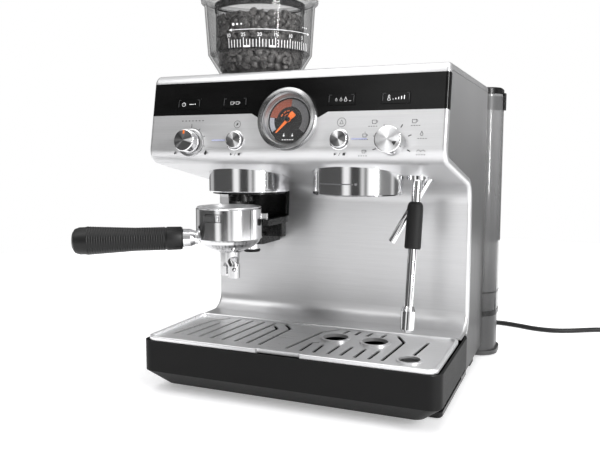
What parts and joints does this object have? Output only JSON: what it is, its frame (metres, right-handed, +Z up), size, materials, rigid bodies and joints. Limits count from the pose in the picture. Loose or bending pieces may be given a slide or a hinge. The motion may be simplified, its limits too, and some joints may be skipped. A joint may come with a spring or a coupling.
{
  "type": "espresso machine",
  "caption": "Home espresso machine with built-in bean grinder, filter holder in a fork cradle, steam wand, pressure gauge, drip tray and rear water tank",
  "frame": {"origin": "on the table, on the machine's middle plane, directly below the front face of the splash panel", "axes": "+X to the user's right, +Y away from the user, +Z up"},
  "size_m": [0.6354, 0.6231, 0.438],
  "materials": {
    "cover_steel": "horizontally brushed stainless",
    "side_steel": "vertically brushed stainless, darker",
    "plate_steel": "satin stainless",
    "chrome": "polished chrome",
    "spun_chrome": "spun chrome face",
    "band_black": "black gloss glass-like fascia",
    "black_satin": "black satin moulding",
    "tray_black": "black satin moulding, fine grain",
    "smoke_clear": "smoky clear plastic",
    "lens": "clear",
    "dial_black": "printed dial",
    "needle_orange": "orange lacquer",
    "rubber_black": "matt rubber",
    "grip_black": "matt soft-touch grip with ribs",
    "zinc_frame": "zinc plated sheet",
    "burr_steel": "hardened steel",
    "motor_steel": "painted can",
    "brass": "cast brass",
    "alu": "cast aluminium",
    "board_green": "circuit board",
    "hose_white": "silicone hose",
    "bean_brown": "roasted beans",
    "cord_black": "black flexible cord"
  },
  "bodies": {
    "machine": {"base_plate": "black_satin", "feet": "rubber_black", "chassis": "zinc_frame", "front_cover": "cover_steel", "side_panel_left": "side_steel", "side_panel_right": "side_steel", "rear_panel": "zinc_frame", "rear_dock": "black_satin", "cup_shelf": "plate_steel", "control_band": "band_black", "gauge_dial": "dial_black", "gauge_lens": "lens", "gauge_bezel": "chrome", "control_board": "board_green", "grinder_collar": "chrome", "fork_cradle": "black_satin", "grind_chute": "black_satin", "burr_housing": "alu", "grinder_motor": "motor_steel", "group_collar": "chrome", "group_head": "brass", "group_seal": "rubber_black", "shower_screen": "plate_steel", "boiler": "alu", "pump": "motor_steel", "steam_valve": "brass", "hot_water_spout": "chrome", "water_hoses": "hose_white", "cord_gland": "rubber_black", "power_cord": "cord_black", "cord_coil": "cord_black", "plug": "cord_black"},
    "power_key": {"power_key": "band_black"},
    "cups_key": {"cups_key": "band_black"},
    "infusion_key": {"infusion_key": "band_black"},
    "heat_key": {"heat_key": "band_black"},
    "grind_button": {"grind_button": "spun_chrome"},
    "brew_button": {"brew_button": "spun_chrome"},
    "dose_knob": {"dose_knob": "spun_chrome"},
    "selector_knob": {"selector_knob": "spun_chrome"},
    "gauge_needle": {"gauge_needle": "needle_orange"},
    "hopper": {"hopper": "smoke_clear", "coffee_beans": "bean_brown", "upper_burr": "burr_steel"},
    "hopper_lid": {"hopper_lid": "smoke_clear"},
    "lower_burr": {"lower_burr": "burr_steel"},
    "wand_socket": {"wand_socket": "black_satin"},
    "wand": {"wand_tube": "chrome", "wand_grip": "rubber_black", "wand_tip": "chrome"},
    "drip_tray": {"drip_tray": "tray_black"},
    "drip_plate": {"drip_plate": "plate_steel"},
    "water_float": {"water_float": "black_satin"},
    "water_tank": {"water_tank": "smoke_clear"},
    "tank_lid": {"tank_lid": "black_satin"},
    "portafilter": {"portafilter_body": "chrome", "filter_basket": "plate_steel", "portafilter_spout": "chrome", "portafilter_handle": "grip_black"},
    "tamper": {"tamper": "chrome"}
  },
  "joints": [
    {"name": "power_key_press", "type": "slide", "parent": "machine", "child": "power_key", "axis": [0, 0.9828, -0.1846], "range_m": [0, 0.0008], "stiffness_N_per_m": 300, "springref_m": -0.0006},
    {"name": "cups_key_press", "type": "slide", "parent": "machine", "child": "cups_key", "axis": [0, 0.9828, -0.1846], "range_m": [0, 0.0008], "stiffness_N_per_m": 300, "springref_m": -0.0006},
    {"name": "infusion_key_press", "type": "slide", "parent": "machine", "child": "infusion_key", "axis": [0, 0.9828, -0.1846], "range_m": [0, 0.0008], "stiffness_N_per_m": 300, "springref_m": -0.0006},
    {"name": "heat_key_press", "type": "slide", "parent": "machine", "child": "heat_key", "axis": [0, 0.9828, -0.1846], "range_m": [0, 0.0008], "stiffness_N_per_m": 300, "springref_m": -0.0006},
    {"name": "grind_button_press", "type": "slide", "parent": "machine", "child": "grind_button", "axis": [0, 0.9828, -0.1846], "range_m": [0, 0.002], "stiffness_N_per_m": 400, "springref_m": -0.001},
    {"name": "brew_button_press", "type": "slide", "parent": "machine", "child": "brew_button", "axis": [0, 0.9828, -0.1846], "range_m": [0, 0.002], "stiffness_N_per_m": 400, "springref_m": -0.001},
    {"name": "dose_knob_turn", "type": "hinge", "parent": "machine", "child": "dose_knob", "pos_m": [-0.105, -0.14447, 0.263], "axis": [0, -0.9828, 0.1846], "range_deg": [-135, 135]},
    {"name": "selector_knob_turn", "type": "hinge", "parent": "machine", "child": "selector_knob", "pos_m": [0.1058, -0.14475, 0.2615], "axis": [0, -0.9828, 0.1846], "range_deg": [-117, 117]},
    {"name": "gauge_needle_swing", "type": "hinge", "parent": "machine", "child": "gauge_needle", "pos_m": [0.0023, -0.14047, 0.2843], "axis": [0, -0.9828, 0.1846], "range_deg": [-262, 0], "stiffness_Nm_per_rad": 0.0002, "springref_deg": 17.19},
    {"name": "grind_setting", "type": "hinge", "parent": "machine", "child": "hopper", "pos_m": [-0.078, -0.037, 0.333], "axis": [0, 0, 1], "range_deg": [-25, 25]},
    {"name": "hopper_lid_lift", "type": "slide", "parent": "hopper", "child": "hopper_lid", "axis": [0, 0, 1], "range_m": [0, 0.06]},
    {"name": "burr_spin", "type": "hinge", "parent": "machine", "child": "lower_burr", "pos_m": [-0.078, -0.037, 0.3], "axis": [0, 0, 1], "continuous": true},
    {"name": "wand_swivel", "type": "hinge", "parent": "machine", "child": "wand_socket", "pos_m": [0.1108, -0.063, 0.232], "axis": [0, 0, 1], "range_deg": [-50, 50]},
    {"name": "wand_tilt", "type": "hinge", "parent": "wand_socket", "child": "wand", "pos_m": [0.1108, -0.063, 0.232], "axis": [1, 0, 0], "range_deg": [-8, 9]},
    {"name": "drip_tray_slide", "type": "slide", "parent": "machine", "child": "drip_tray", "axis": [0, -1, 0], "range_m": [0, 0.18]},
    {"name": "drip_plate_lift", "type": "slide", "parent": "drip_tray", "child": "drip_plate", "axis": [0, 0, 1], "range_m": [0, 0.008]},
    {"name": "float_rise", "type": "slide", "parent": "drip_tray", "child": "water_float", "axis": [0, 0, 1], "range_m": [0, 0.006]},
    {"name": "water_tank_lift", "type": "slide", "parent": "machine", "child": "water_tank", "axis": [0, 0, 1], "range_m": [0, 0.25]},
    {"name": "tank_lid_hinge", "type": "hinge", "parent": "water_tank", "child": "tank_lid", "pos_m": [0, 0.1744, 0.3245], "axis": [1, 0, 0], "range_deg": [-100, 0]},
    {"name": "portafilter_slide", "type": "slide", "parent": "machine", "child": "portafilter", "axis": [0, 1, 0], "range_m": [-0.2, 0.022]},
    {"name": "tamper_release", "type": "slide", "parent": "machine", "child": "tamper", "axis": [0, 0, -1], "range_m": [0, 0.04]}
  ]
}
